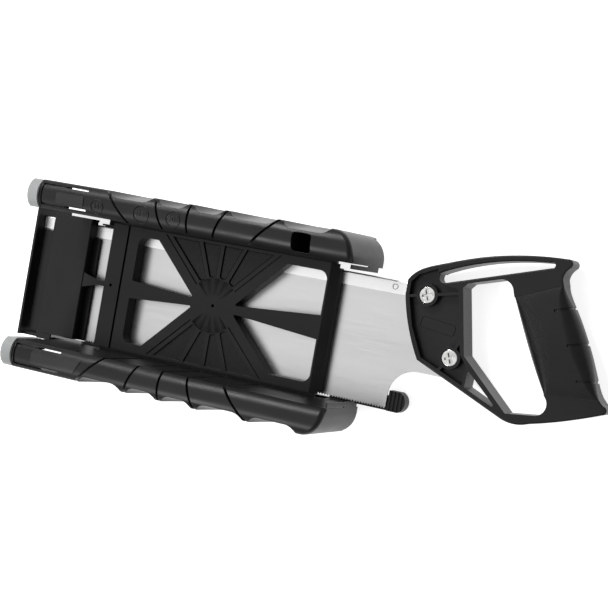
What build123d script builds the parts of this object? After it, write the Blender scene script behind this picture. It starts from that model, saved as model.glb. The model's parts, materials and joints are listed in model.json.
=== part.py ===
"""Mitre box with a back saw stored flat under its cutting floor.

Frame: +X runs along the box towards the saw's handle, +Y towards the rail with the angle labels, +Z up.
The origin is on the table, straight below the point where the five saw slots cross.  Units are mm.
"""
import os
from math import cos, hypot, pi, radians, sin, sqrt, tan

from build123d import *

# ---- Driving dimensions: the box -------------------------------------------------------------------
FLOOR_TOP = 27.0          # table to the cutting floor
CHANNEL = 108.0           # clear width between the walls
WALL_DEPTH = 23.0         # one wall, inner face to outer face
EDGE_HEIGHT = 61.0        # cutting floor to the edges of a rail
CROWN_RISE = 5.5          # the rail's rounded top above its edges
SHELL = 2.6               # moulded wall thickness
LEFT_REACH = 138.5        # slot crossing to the rails' left end
RIGHT_REACH = 140.0       # slot crossing to the rails' right end
SKIRT_REACH = 128.0       # slot crossing to the tray's right end
BAND_CORNER = 20.0        # plan rounding of the tray's right corners
SEAM = 20.0               # tray top, where walls and floor sit on it
SEAM_GAP = 0.2
RAIL_CORNER = 18.0        # plan rounding of the rails' right outer corner
RAIL_NOSE = 3.5           # rounding of the rails' right top edge

# ---- Tab beside the channel on each wall's right end face --------------------------------------------
TAB_THICK = 1.2
TAB_WIDTH = 4.0
TAB_LOW = 8.0             # tab above the cutting floor
TAB_SLIT = 0.7
TAB_SLIT_LOW = 27.0       # slit above the cutting floor

# ---- Saw slots and finger flutes -------------------------------------------------------------------
SLOT_ANGLES = (45.0, 67.5, 90.0, 112.5, 135.0)
KERF = 1.8
CHEEK = 1.8               # web left on each side of a slot inside the hollow wall
FLUTE_DEPTH = 4.7
FLUTE_DROP = 41.0         # height over which a flute fades out
FLUTE_EASE = 10.0         # length of a flute's rounded end
FLUTE_LAND = 1.8          # flat kept beside each peak
RIGHT_PEAK = 122.0        # last peak of the outer face

# ---- Snap tongue and rail end cap ------------------------------------------------------------------
TONGUE_LEFT = 135.0       # slot crossing to the tongue's free end
TONGUE_ROOT = 93.0
TONGUE_SLIT = 1.4
TONGUE_INSET = 3.6        # slit centre line from the wall's faces
CAP_LENGTH = 10.5
CAP_PROUD = 2.2           # cap crown above the rail crown
CAP_DROP = 33.0           # cap skirt below the rail edge
SPIGOT_LENGTH = 21.5
SPIGOT_DROP = 9.0
CAP_WALL = 2.2
FIT = 0.2                 # clearance between plugged-in mouldings

# ---- Pencil socket in the back rail ----------------------------------------------------------------
SOCKET_X = 98.4
SOCKET_LENGTH = 16.0
SOCKET_WIDTH = 14.4
SOCKET_Y = 62.8
SOCKET_DEPTH = 40.0
SOCKET_WALL = 1.6

# ---- Cutting floor ---------------------------------------------------------------------------------
FLOOR_PLATE = 3.6
FLOOR_LEFT = 105.0
FLOOR_RIGHT = 104.0
FLOOR_MARGIN = 2.3        # shadow gap between the floor and each wall
FLANGE_LAP = 3.0          # floor flange trapped under the walls
RIM_WALL = 2.4
RIM_BOTTOM = 15.7
END_RIM_HALF = 48.5       # half length of the rims along the two ends
BEVEL_RUN = 7.0
BEVEL_DROP = 4.0
WINDOW_HALF = 44.3        # half width of the floor windows
WINDOW_RIGHT = 95.5
WINDOW_LEFT = 78.6
WINDOW_TIP = 15.4         # slot crossing to the tip of a window
SPOKE_TIP = 3.3           # half width of a spoke where it leaves the hub
SPOKE_RIGHT_END = 9.6
SPOKE_LEFT_END = 7.5
RIB = 3.5                 # raised rib over each saw slot line
PANEL_SINK = 1.2
PANEL_MOAT = 0.8          # width of the groove round each sunk panel
PANEL_INNER = 23.0        # slot crossing to the rounded ends of the sunk panels
PANEL_EDGE = 2.2          # plain border between panel and floor edge
GROOVE = 0.9
HUB_HOLE = 1.3
LEFT_FRAME = 9.9          # floor left of the windows, up to the cross groove
STRIP_HOLE_X = -98.5
FAN_ANGLES = (56.25, 78.75, 101.25, 123.75, 236.25, 258.75, 281.25, 303.75)
FAN_RADIUS = 9.0
FAN_LENGTH = 17.0
FAN_TILT = 5.2            # a fan dish's axis falls outwards by this angle
FAN_LIFT = 8.4            # height of a fan dish's axis above the floor, at its middle

# ---- Nose and tray ---------------------------------------------------------------------------------
COVER_LEFT = 164.5
COVER_RIGHT = 127.0
COVER_HALF = 51.5
COVER_PLATE = 2.6
COVER_BRIM_LEFT = 14.5
COVER_BRIM_RIGHT = 5.2
TRAY_PLATE = 3.0
PLATE_HALF = 46.0         # tray plate beside the light wells
WELL_LEFT = 125.0         # the tray is open beside the saw beyond these two
WELL_RIGHT = 84.0
GUIDE_SIDE = 49.6         # outer face of the spine guide
GUIDE_INNER = 42.0        # inner edge of the tooth guide

# ---- Saw -------------------------------------------------------------------------------------------
BLADE_PLANE = 14.5        # height of the blade's mid-plane
BLADE = 0.9
BLADE_TIP = -181.0
BLADE_HEEL = 157.5
TOOTH_LINE = -52.0
SPINE_TOP = 47.5
SPINE_DEPTH = 10.5
SPINE_THICK = 4.2
SPINE_SHEET = 1.6
SPINE_END = 196.0
TOOTH_PITCH = 2.31
TOOTH_DEPTH = 1.5
HEEL_TOP = -38.5
BLADE_SHOULDER = -19.5
SAW_CLEAR = 0.35          # running clearance between the saw and what it slides on
HEEL_RUN = 20.5           # heel to the end of the cut-out's curve
BLADE_MARGIN = 7.6        # steel beyond the lower screw
BLADE_REAR = 202.2
RIVET_X = (-160.0, 149.0)
RIVET_RADIUS = 1.9
RIVET_SINK = 0.7          # depth of the ring sunk round each rivet
RIVET_RING = 0.6
SCREW_PLACES = ((178.8, 40.4), (205.2, -3.2))

# ---- Handle ----------------------------------------------------------------------------------------
FRAME_THICK = 21.0
WEB_THICK = 11.0
GRIP_THICK = 26.4
BOSS_RADIUS = 8.6
HEAD_RADIUS = 6.6
HEAD_HEIGHT = 2.2
CROSS_WIDTH = 1.7         # arms of the screws' cross recess
SHANK_RADIUS = 2.9
SLEEVE_RADIUS = 4.0
HOLE_PLAY = 0.15
SLEEVE_REACH = 4.0        # sleeve nut above the blade's mid-plane
NOTCH_SHARES = (0.19, 0.48, 0.77)   # notches across the grip's back, along its length
NOTCH_WIDTH = 2.0
NOTCH_DEPTH = 0.9
NOTCH_REACH = 13.0        # back of the grip to a notch's inner end

# ---- Latch -----------------------------------------------------------------------------------------
LATCH_PIVOT = (99.0, 8.4)  # X and Z of the flexing root
LATCH_EYE = 2.2
LATCH_ARM = 4.0
LATCH_INNER = -42.0
LATCH_OUTER = -53.7
KNOB_LEFT = 158.3
KNOB_RIGHT = 172.6
KNOB_BOTTOM = 4.2
KNOB_RIDGES = 4
KNOB_TOP_Y = -37.6
KNOB_BOW = 5.5            # depth of the knob's curved end

# ---- Screws ----------------------------------------------------------------------------------------
BASE_SCREW_X = (-88.0, -45.0, 45.0, 115.0)
BASE_BOSS = 4.6
BASE_SHANK = 1.9
BASE_HEAD = 3.6
GUIDE_SCREW_X = (-95.0, -10.0, 70.0)
GUIDE_SHANK = 1.45
GUIDE_HEAD = 2.8
GUIDE_SINK = 1.6
GUIDE_SCREW_Y = (42.0, -47.0)
GUIDE_SCREW_LENGTH = 9.0
HEAD_SINK = 5.0

# ---- Worked out ------------------------------------------------------------------------------------
INNER = CHANNEL / 2
OUTER = INNER + WALL_DEPTH
MID_WALL = INNER + WALL_DEPTH / 2
EDGE_Z = FLOOR_TOP + EDGE_HEIGHT
CROWN_Z = EDGE_Z + CROWN_RISE
FLOOR_HALF = INNER - FLOOR_MARGIN
BLADE_TOP = BLADE_PLANE + BLADE / 2
BLADE_UNDER = BLADE_PLANE - BLADE / 2
SPINE_LOW = SPINE_TOP - SPINE_DEPTH
NOSE_END = BLADE_TIP - 2.4   # outer face of the nose's end wall
BOTTOM = (Align.CENTER, Align.CENTER, Align.MIN)

os.makedirs("parts", exist_ok=True)


def save(name, piece):
    """Label a finished piece and write it as one STEP file."""
    piece.part.label = name
    export_step(piece.part, f"parts/{name}.step")


def span_box(x0, x1, y0, y1, z0, z1, mode=Mode.ADD):
    """Box between two corners, added to or cut from the part being built."""
    with Locations(((x0 + x1) / 2, (y0 + y1) / 2, z0)):
        Box(x1 - x0, y1 - y0, z1 - z0, align=BOTTOM, mode=mode)


def arch(y0, y1, edge_z, crown_z, base_z):
    """Upright wall section with a rounded top, drawn on the YZ plane."""
    with BuildSketch() as outline:
        with BuildLine():
            side = Line((y0, edge_z), (y0, base_z))
            foot = Line(side @ 1, (y1, base_z))
            Line(foot @ 1, (y1, edge_z))
            ThreePointArc((y1, edge_z), ((y0 + y1) / 2, crown_z), (y0, edge_z))
        make_face()
    return outline.sketch


# ---- Walls -----------------------------------------------------------------------------------------
def slot_reach(angle):
    """X where a saw slot crosses the outer face of a wall."""
    return OUTER / tan(radians(angle))


def flute(left, right, depth):
    """Plan outline of one finger flute between two peaks of the outer face."""
    x0, x1 = left + FLUTE_LAND, right - FLUTE_LAND
    sill, crest, shoulder = OUTER - depth, OUTER + 0.01, OUTER - 0.62 * depth
    with BuildSketch() as outline:
        with BuildLine():
            ThreePointArc((x0, crest), (x0 + 0.3 * FLUTE_EASE, shoulder), (x0 + FLUTE_EASE, sill))
            Line((x0 + FLUTE_EASE, sill), (x1 - FLUTE_EASE, sill))
            ThreePointArc((x1 - FLUTE_EASE, sill), (x1 - 0.3 * FLUTE_EASE, shoulder), (x1, crest))
            Polyline((x1, crest), (x1, OUTER + 10), (x0, OUTER + 10), (x0, crest))
        make_face()
    return outline.sketch


def wall_core(with_socket):
    """Hollow of a wall, less the webs, bosses and ribs that stay inside it."""
    with BuildPart() as core:
        # plain stretch on the left, and a narrower one behind the flutes
        with BuildSketch(Plane.YZ.offset(-LEFT_REACH - 1)):
            add(arch(INNER + SHELL, OUTER - SHELL, EDGE_Z - SHELL, CROWN_Z - SHELL, 0))
        extrude(amount=LEFT_REACH + 1 - OUTER - 2 * SHELL)
        with BuildSketch(Plane.YZ.offset(-LEFT_REACH - 1)):
            add(arch(INNER + SHELL, OUTER - FLUTE_DEPTH - SHELL, EDGE_Z - SHELL, CROWN_Z - SHELL, 0))
        extrude(amount=LEFT_REACH + 1 + RIGHT_REACH - SHELL)
        corner = core.edges().filter_by(Axis.Z).group_by(Axis.X)[-1].sort_by(Axis.Y)[-1]
        room = WALL_DEPTH - FLUTE_DEPTH - 2 * SHELL
        fillet(corner, min(RAIL_CORNER - FLUTE_DEPTH - SHELL, 0.9 * room))
        for angle in SLOT_ANGLES:
            with Locations(Location((0, 0, FLOOR_TOP - 2 * CHEEK), (0, 0, angle))):
                Box(4 * OUTER, KERF + 2 * CHEEK, 2 * EDGE_HEIGHT, align=BOTTOM, mode=Mode.SUBTRACT)
        for x in BASE_SCREW_X:
            with Locations((x, MID_WALL, 0)):
                Cylinder(BASE_BOSS, 2 * EDGE_Z, align=BOTTOM, mode=Mode.SUBTRACT)
            span_box(x - SHELL / 2, x + SHELL / 2, INNER, OUTER, 0, 2 * EDGE_Z, Mode.SUBTRACT)
        if with_socket:
            reach = SOCKET_LENGTH / 2 + SOCKET_WALL
            floor = CROWN_Z - SOCKET_DEPTH - SOCKET_WALL
            span_box(SOCKET_X - reach, SOCKET_X + reach, INNER, OUTER, floor, 2 * EDGE_Z, Mode.SUBTRACT)
    return core.part


def build_wall(with_socket, mirrored):
    """One hollow side wall with its slots, flutes, snap tongue and screw bosses."""
    hollow = wall_core(with_socket)
    with BuildPart() as wall:
        with BuildSketch(Plane.YZ.offset(-LEFT_REACH)):
            add(arch(INNER, OUTER, EDGE_Z, CROWN_Z, SEAM + SEAM_GAP))
        extrude(amount=LEFT_REACH + RIGHT_REACH)
        corner = wall.edges().filter_by(Axis.Z).group_by(Axis.X)[-1].sort_by(Axis.Y)[-1]
        fillet(corner, min(RAIL_CORNER, WALL_DEPTH - RAIL_NOSE - 1))
        top_edges = wall.faces().sort_by(Axis.X)[-1].edges().group_by(Axis.Z)[-1]
        fillet(top_edges, RAIL_NOSE)
        # finger flutes on the outer face, leaning out until they fade away
        head_room = 2 * CROWN_RISE
        deep = FLUTE_DEPTH * (1 + head_room / FLUTE_DROP)
        lean = Vector(0, deep, -FLUTE_DROP - head_room)
        peaks = sorted([slot_reach(angle) for angle in SLOT_ANGLES] + [RIGHT_PEAK])
        for left, right in zip(peaks, peaks[1:]):
            with BuildSketch(Plane.XY.offset(EDGE_Z + head_room)):
                add(flute(left, right, deep))
            extrude(amount=lean.length, dir=lean.normalized(), mode=Mode.SUBTRACT)
        add(hollow, mode=Mode.SUBTRACT)
        # saw slots, down to the cutting floor
        for angle in SLOT_ANGLES:
            with Locations(Location((0, 0, FLOOR_TOP), (0, 0, angle))):
                Box(4 * OUTER, KERF, 2 * EDGE_HEIGHT, align=BOTTOM, mode=Mode.SUBTRACT)
        # the rail's right end overhangs the tray
        span_box(SKIRT_REACH, RIGHT_REACH + 1, INNER - 1, OUTER + 1, 0, FLOOR_TOP, Mode.SUBTRACT)
        # thin tab on the end face, slit from the wall over its upper part
        tab_low = FLOOR_TOP + TAB_LOW
        span_box(RIGHT_REACH - TAB_THICK, RIGHT_REACH, INNER - TAB_WIDTH, INNER + 1, tab_low, EDGE_Z - 1)
        slit_low = FLOOR_TOP + TAB_SLIT_LOW
        span_box(RIGHT_REACH - TAB_THICK, RIGHT_REACH, INNER - TAB_SLIT, INNER, slit_low, EDGE_Z, Mode.SUBTRACT)
        # pocket over the flange of the cutting floor
        lap = INNER + FLANGE_LAP + FIT
        span_box(-FLOOR_LEFT, FLOOR_RIGHT, INNER - 1, lap, 0, SEAM + FLOOR_PLATE + 2 * FIT, Mode.SUBTRACT)
        # slits round the snap tongue
        roof = EDGE_Z - 2 * SHELL
        slit = TONGUE_SLIT / 2
        for y in (INNER + TONGUE_INSET, OUTER - TONGUE_INSET):
            span_box(-TONGUE_LEFT, -TONGUE_ROOT, y - slit, y + slit, roof, 2 * EDGE_Z, Mode.SUBTRACT)
        across = (INNER + TONGUE_INSET - slit, OUTER - TONGUE_INSET + slit)
        left_end = -TONGUE_LEFT - 2 * slit
        span_box(left_end, -TONGUE_LEFT, *across, roof, 2 * EDGE_Z, Mode.SUBTRACT)
        # pilot holes for the base screws
        for x in BASE_SCREW_X:
            with Locations((x, MID_WALL, 0)):
                Cylinder(BASE_SHANK - 0.1, SEAM + 18, align=BOTTOM, mode=Mode.SUBTRACT)
        if with_socket:
            with BuildSketch(Plane.XY.offset(CROWN_Z - SOCKET_DEPTH)):
                with Locations((SOCKET_X, SOCKET_Y)):
                    RectangleRounded(SOCKET_LENGTH, SOCKET_WIDTH, 3)
            extrude(amount=2 * SOCKET_DEPTH, mode=Mode.SUBTRACT)
        if mirrored:
            mirror(about=Plane.XZ, mode=Mode.REPLACE)
    return wall


def build_end_cap(mirrored):
    """Grey cap on a rail's left end, with the spigot that the snap tongue holds."""
    lip = 0.4
    with BuildPart() as cap:
        with BuildSketch(Plane.YZ.offset(-LEFT_REACH - CAP_LENGTH)):
            add(arch(INNER - lip, OUTER - lip, EDGE_Z + CAP_PROUD / 2, CROWN_Z + CAP_PROUD, EDGE_Z - CAP_DROP))
        extrude(amount=CAP_LENGTH)
        end_edges = cap.faces().sort_by(Axis.X)[0].edges().sort_by(Axis.Z)[1:]
        fillet(end_edges, CAP_WALL)
        low, high = INNER - lip + CAP_WALL, OUTER - lip - CAP_WALL
        with BuildSketch(Plane.YZ.offset(-LEFT_REACH - CAP_LENGTH + CAP_WALL)):
            add(arch(low, high, EDGE_Z - SHELL, CROWN_Z - SHELL - CAP_WALL, 0))
        extrude(amount=CAP_LENGTH, mode=Mode.SUBTRACT)
        low, high = INNER + SHELL + FIT, OUTER - SHELL - FIT
        roof = (EDGE_Z - SHELL - FIT, CROWN_Z - SHELL - FIT)
        with BuildSketch(Plane.YZ.offset(-LEFT_REACH - CAP_WALL)):
            add(arch(low, high, *roof, EDGE_Z - SPIGOT_DROP))
            arch_inner = (low + CAP_WALL, high - CAP_WALL, roof[0] - CAP_WALL, roof[1] - CAP_WALL)
        extrude(amount=SPIGOT_LENGTH + CAP_WALL)
        with BuildSketch(Plane.YZ.offset(-LEFT_REACH - CAP_WALL)):
            add(arch(*arch_inner, 0))
        extrude(amount=SPIGOT_LENGTH + 2 * CAP_WALL, mode=Mode.SUBTRACT)
        if mirrored:
            mirror(about=Plane.XZ, mode=Mode.REPLACE)
    return cap


# ---- Cutting floor ---------------------------------------------------------------------------------
def beside_rib(angle, offset, reach):
    """Point at a distance along a slot line, moved sideways off it."""
    a = radians(angle)
    return (reach * cos(a) - offset * sin(a), reach * sin(a) + offset * cos(a))


def beside_rib_at(angle, offset, y):
    """Point where a line beside a slot line reaches a given Y."""
    a = radians(angle)
    return beside_rib(angle, offset, (y - offset * cos(a)) / sin(a))


def panel_outline(low, high):
    """Sunk panel between two neighbouring slot lines, round at its inner end."""
    half = RIB / 2
    edge = FLOOR_HALF - PANEL_EDGE
    corners = [
        beside_rib(low, half, PANEL_INNER),
        beside_rib_at(low, half, edge),
        beside_rib_at(high, -half, edge),
        beside_rib(high, -half, PANEL_INNER),
    ]
    with BuildSketch() as outline:
        with BuildLine():
            Polyline(*corners, close=True)
        make_face()
    return outline.sketch


def window_outline(direction, side, end, spoke_end):
    """One of the four windows, between a diagonal bar and a spoke."""
    corners = [
        (direction * (WINDOW_TIP + SPOKE_TIP), side * SPOKE_TIP),
        (direction * (WINDOW_TIP + WINDOW_HALF), side * WINDOW_HALF),
        (direction * end, side * WINDOW_HALF),
        (direction * end, side * spoke_end),
    ]
    with BuildSketch() as outline:
        with BuildLine():
            Polyline(*corners, close=True)
        make_face()
    return outline.sketch


WINDOWS = [
    (direction, side, end, spoke)
    for direction, end, spoke in ((1, WINDOW_RIGHT, SPOKE_RIGHT_END), (-1, WINDOW_LEFT, SPOKE_LEFT_END))
    for side in (1, -1)
]

with BuildPart() as cutting_floor:
    plate_bottom = FLOOR_TOP - FLOOR_PLATE
    span_box(-FLOOR_LEFT, FLOOR_RIGHT, -FLOOR_HALF, FLOOR_HALF, plate_bottom, FLOOR_TOP)
    lap = INNER + FLANGE_LAP
    span_box(-FLOOR_LEFT + 4, FLOOR_RIGHT - 4, -lap, lap, SEAM, SEAM + FLOOR_PLATE)
    # rims that hang round the windows and along both ends
    for window in WINDOWS:
        with BuildSketch(Plane.XY.offset(RIM_BOTTOM)):
            add(window_outline(*window))
            offset(amount=RIM_WALL, mode=Mode.REPLACE)
        extrude(amount=FLOOR_TOP - RIM_BOTTOM - 1)
    for end in (-FLOOR_LEFT, FLOOR_RIGHT - RIM_WALL):
        span_box(end, end + RIM_WALL, -END_RIM_HALF, END_RIM_HALF, RIM_BOTTOM, FLOOR_TOP)
    for window in WINDOWS:
        with BuildSketch(Plane.XY.offset(RIM_BOTTOM - 1)) as opening:
            add(window_outline(*window))
            fillet(opening.vertices().sort_by(lambda v: abs(v.X) + abs(v.Y))[-1], 7)
            fillet(opening.vertices().sort_by(lambda v: abs(v.X) + abs(v.Y))[0], 1)
        extrude(amount=FLOOR_TOP, mode=Mode.SUBTRACT)
    # bevelled lead-in at the right end
    lead_in = cutting_floor.faces().filter_by(Axis.X).sort_by(Axis.X)[-1].edges().sort_by(Axis.Z)[-1]
    chamfer(lead_in, BEVEL_DROP, BEVEL_RUN)
    # sunk panels between the slot lines, on both sides of the hub
    for low, high in zip(SLOT_ANGLES, SLOT_ANGLES[1:]):
        for turn in (0, 180):
            with BuildSketch(Plane.XY.offset(FLOOR_TOP).rotated((0, 0, turn))) as panel:
                add(panel_outline(low, high))
                fillet(panel.vertices().sort_by(lambda v: hypot(v.X, v.Y))[:2], 2.2)
            extrude(amount=-PANEL_SINK, mode=Mode.SUBTRACT)
            with BuildSketch(Plane.XY.offset(FLOOR_TOP).rotated((0, 0, turn))):
                add(panel.sketch)
                offset(amount=-PANEL_MOAT, mode=Mode.SUBTRACT)
            extrude(amount=-1.8 * PANEL_SINK, mode=Mode.SUBTRACT)
    # grooves along the outer side of the diagonal ribs, and across the left end
    middle = (PANEL_INNER + FLOOR_HALF * sqrt(2)) / 2
    length = FLOOR_HALF * sqrt(2) - PANEL_INNER
    for angle, out in ((45, -1), (135, 1), (225, -1), (315, 1)):
        x, y = beside_rib(angle, out * (RIB + GROOVE) / 2, middle)
        with Locations(Location((x, y, FLOOR_TOP - PANEL_SINK), (0, 0, angle))):
            Box(length, GROOVE, 4, align=BOTTOM, mode=Mode.SUBTRACT)
    strip = -WINDOW_LEFT - LEFT_FRAME
    span_box(strip - 2 * GROOVE, strip, -FLOOR_HALF, FLOOR_HALF, FLOOR_TOP - 2 * PANEL_SINK, FLOOR_TOP + 1,
             Mode.SUBTRACT)
    # shallow dishes that fan out from the hub
    for angle in FAN_ANGLES:
        x, y = beside_rib(angle, 0, PANEL_INNER - FAN_LENGTH / 2)
        with Locations(Location((x, y, FLOOR_TOP + FAN_LIFT), (0, 0, angle))):
            Cylinder(FAN_RADIUS, FAN_LENGTH, rotation=(0, 90 + FAN_TILT, 0), mode=Mode.SUBTRACT)
    with Locations((0, 0, 0), (STRIP_HOLE_X, 0, 0)):
        Cylinder(HUB_HOLE, 4 * FLOOR_TOP, mode=Mode.SUBTRACT)
    # room for the spine
    span_box(-FLOOR_LEFT - 1, FLOOR_RIGHT + 1, SPINE_LOW - 1.5, GUIDE_SIDE, 0,
             BLADE_PLANE + SPINE_THICK / 2 + SAW_CLEAR, Mode.SUBTRACT)
    # strut that bridges the gap to the nose cover
    with BuildSketch(Plane.XY.offset(FLOOR_TOP - FLOOR_PLATE)):
        with BuildLine():
            Polyline((-FLOOR_LEFT + 1, 2), (-FLOOR_LEFT - 7, 2),
                     (-COVER_RIGHT + FIT, 6), (-COVER_RIGHT + FIT, -6),
                     (-FLOOR_LEFT - 7, -2), (-FLOOR_LEFT + 1, -2), close=True)
        make_face()
    extrude(amount=FLOOR_PLATE - 0.8)
save("cutting_floor", cutting_floor)

for name, socket, mirrored in (("back_wall", True, False), ("front_wall", False, True)):
    save(name, build_wall(socket, mirrored))
for name, mirrored in (("back_rail_cap", False), ("front_rail_cap", True)):
    save(name, build_end_cap(mirrored))


# ---- Nose cover ------------------------------------------------------------------------------------
with BuildPart() as nose_cover:
    span_box(-COVER_LEFT, -COVER_RIGHT, -COVER_HALF, COVER_HALF, FLOOR_TOP - COVER_PLATE, FLOOR_TOP)
    chamfer(nose_cover.faces().sort_by(Axis.Z)[-1].edges(), 0.5)
    for x in (-COVER_LEFT, -COVER_RIGHT - RIM_WALL):
        span_box(x, x + RIM_WALL, -COVER_HALF, COVER_HALF, RIM_BOTTOM, FLOOR_TOP - COVER_PLATE)
    # brims that close the gaps on both sides of the cover, just above the blade
    for x, reach in ((-COVER_LEFT, -COVER_BRIM_LEFT), (-COVER_RIGHT, COVER_BRIM_RIGHT)):
        edge = -COVER_HALF
        span_box(min(x, x + reach), max(x, x + reach), edge, SPINE_LOW - 1.5, RIM_BOTTOM, RIM_BOTTOM + 2)
    for side in (1, -1):
        ear = sorted((side * (COVER_HALF - 3), side * (INNER + SHELL)))
        span_box(-COVER_LEFT + 1, -LEFT_REACH - CAP_LENGTH - 1, *ear, FLOOR_TOP - COVER_PLATE, FLOOR_TOP - 0.6)
    span_box(-COVER_LEFT - 1, -COVER_RIGHT + 1, SPINE_LOW - 1.5, GUIDE_SIDE, 0,
             BLADE_PLANE + SPINE_THICK / 2 + SAW_CLEAR, Mode.SUBTRACT)
save("nose_cover", nose_cover)


# ---- Tray ------------------------------------------------------------------------------------------
def band_outline(side, inset):
    """Plan of the tray's band under one wall, drawn in from its outside by an inset."""
    left, right = -LEFT_REACH + inset, SKIRT_REACH - inset
    low, high = INNER + inset, OUTER - inset
    curve = BAND_CORNER - inset
    diagonal = curve * (1 - sqrt(0.5))
    with BuildSketch() as outline:
        with BuildLine():
            Polyline((right, side * (high - curve)), (right, side * low), (left, side * low),
                     (left, side * high), (right - curve, side * high))
            ThreePointArc((right - curve, side * high), (right - diagonal, side * (high - diagonal)),
                          (right, side * (high - curve)))
        make_face()
    return outline.sketch


with BuildPart() as tray:
    # plate under the saw, stopped short of the light wells beside it
    span_box(-WELL_LEFT, WELL_RIGHT, -INNER - 1, INNER + 1, 0, TRAY_PLATE)
    span_box(NOSE_END, LATCH_PIVOT[0] + 1, -PLATE_HALF, PLATE_HALF, 0, TRAY_PLATE)
    span_box(WELL_RIGHT - 1, LATCH_PIVOT[0] + 1, TOOTH_LINE, 0, 0, TRAY_PLATE)
    # nose: end wall and side arms
    side_out = INNER + SHELL
    span_box(NOSE_END, BLADE_TIP - SAW_CLEAR, -side_out, side_out, 0, FLOOR_TOP - 0.3)
    for side in (1, -1):
        arm = sorted((side * INNER, side * side_out))
        span_box(NOSE_END, SKIRT_REACH - 1, *arm, 0, SEAM)
        post = sorted((side * INNER, side * side_out))
        span_box(-COVER_LEFT, -LEFT_REACH - CAP_LENGTH, *post, 0, FLOOR_TOP - COVER_PLATE)
        # hollow band under each wall, round at its right end
        with BuildSketch():
            add(band_outline(side, 0))
            add(band_outline(side, SHELL), mode=Mode.SUBTRACT)
        extrude(amount=SEAM)
        band = sorted((side * INNER, side * (OUTER - SHELL / 2)))
        for x in BASE_SCREW_X:
            span_box(x - SHELL / 2, x + SHELL / 2, *band, 0, SEAM)
            with Locations((x, side * MID_WALL, 0)):
                Cylinder(BASE_BOSS + 0.4, SEAM, align=BOTTOM)
    # seat for the root of the latch
    span_box(LATCH_PIVOT[0] - 11, LATCH_PIVOT[0], TOOTH_LINE, LATCH_INNER + 2, 0, LATCH_PIVOT[1] + 3.6)
    span_box(LATCH_PIVOT[0] - 5, LATCH_PIVOT[0] + 9, TOOTH_LINE - 5, LATCH_INNER + 5,
             LATCH_PIVOT[1] - LATCH_EYE - 2 * FIT, 30, Mode.SUBTRACT)
    # counterbored screw holes
    for side in (1, -1):
        with Locations(*[(x, side * MID_WALL, 0) for x in BASE_SCREW_X]):
            Cylinder(BASE_SHANK + HOLE_PLAY, SEAM, align=BOTTOM, mode=Mode.SUBTRACT)
            Cylinder(BASE_HEAD + HOLE_PLAY, HEAD_SINK, align=BOTTOM, mode=Mode.SUBTRACT)
    for y in GUIDE_SCREW_Y:
        with Locations(*[(x, y, 0) for x in GUIDE_SCREW_X]):
            Cylinder(GUIDE_SHANK + HOLE_PLAY, TRAY_PLATE, align=BOTTOM, mode=Mode.SUBTRACT)
            Cylinder(GUIDE_HEAD + HOLE_PLAY, GUIDE_SINK, align=BOTTOM, mode=Mode.SUBTRACT)
save("tray", tray)

# ---- Guides that carry the saw ---------------------------------------------------------------------
with BuildPart() as spine_guide:
    under_spine = BLADE_PLANE - SPINE_THICK / 2 - SAW_CLEAR
    span_box(-WELL_LEFT + 2, WELL_RIGHT - 1, SPINE_LOW - 1, GUIDE_SIDE - FIT, TRAY_PLATE, under_spine)
    span_box(-WELL_LEFT + 2, WELL_RIGHT - 1, SPINE_TOP + SAW_CLEAR, GUIDE_SIDE - FIT, TRAY_PLATE,
             BLADE_PLANE + SPINE_THICK / 2)
    with Locations(*[(x, GUIDE_SCREW_Y[0], 0) for x in GUIDE_SCREW_X]):
        Cylinder(GUIDE_SHANK - 0.1, GUIDE_SCREW_LENGTH, align=BOTTOM, mode=Mode.SUBTRACT)
save("spine_guide", spine_guide)

with BuildPart() as tooth_guide:
    right = LATCH_PIVOT[0] - 11 - FIT
    span_box(-WELL_LEFT + 2, right, -INNER + FIT, -GUIDE_INNER, TRAY_PLATE, BLADE_UNDER - SAW_CLEAR)
    span_box(-WELL_LEFT + 2, right, -INNER + FIT, TOOTH_LINE - SAW_CLEAR, TRAY_PLATE, BLADE_TOP + 3)
    with Locations(*[(x, GUIDE_SCREW_Y[1], 0) for x in GUIDE_SCREW_X]):
        Cylinder(GUIDE_SHANK - 0.1, GUIDE_SCREW_LENGTH, align=BOTTOM, mode=Mode.SUBTRACT)
save("tooth_guide", tooth_guide)


# ---- Screws ----------------------------------------------------------------------------------------
def pan_screw(shank, head, head_height, length, socket):
    """Round-headed screw standing on its head, at the places of the current context."""
    Cylinder(head, head_height, align=BOTTOM)
    Cylinder(shank, length, align=BOTTOM)
    Box(2 * socket, socket / 2, head_height, align=BOTTOM, mode=Mode.SUBTRACT)
    Box(socket / 2, 2 * socket, head_height, align=BOTTOM, mode=Mode.SUBTRACT)


with BuildPart() as base_screws:
    places = [(x, side * MID_WALL, HEAD_SINK - 2.4) for x in BASE_SCREW_X for side in (1, -1)]
    with Locations(*places):
        pan_screw(BASE_SHANK - 0.1, BASE_HEAD, 2.4, SEAM + 14, BASE_HEAD / 3)
save("base_screws", base_screws)

with BuildPart() as guide_screws:
    places = [(x, y, 0.2) for x in GUIDE_SCREW_X for y in GUIDE_SCREW_Y]
    with Locations(*places):
        pan_screw(GUIDE_SHANK - 0.1, GUIDE_HEAD, GUIDE_SINK - 0.2, GUIDE_SCREW_LENGTH - 1, GUIDE_HEAD / 3)
save("guide_screws", guide_screws)


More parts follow.
